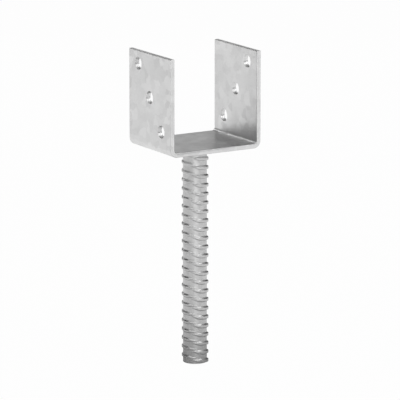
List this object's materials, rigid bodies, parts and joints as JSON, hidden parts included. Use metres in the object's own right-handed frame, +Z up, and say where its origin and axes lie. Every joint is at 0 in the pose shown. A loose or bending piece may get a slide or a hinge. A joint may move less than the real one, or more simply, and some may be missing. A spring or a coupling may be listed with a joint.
{
  "type": "post anchor",
  "caption": "U-shaped post anchor: a folded steel strap with slanting bolt holes in both plates, welded on a ribbed bar that is cast into concrete.",
  "frame": {"origin": "centre of the web's upper face, where the post's foot rests", "axes": "+Z up along the post, X from plate to plate, Y along the strap's width"},
  "size_m": [0.089, 0.07, 0.274],
  "materials": {
    "galvanised_strap": "matte hot-dip galvanised",
    "galvanised_bar": "matte hot-dip galvanised, a little rougher",
    "galvanised_weld": "matte hot-dip galvanised weld metal"
  },
  "bodies": {
    "root": {"u_bracket": "galvanised_strap", "anchor_bar": "galvanised_bar", "weld_bead": "galvanised_weld"}
  },
  "joints": []
}
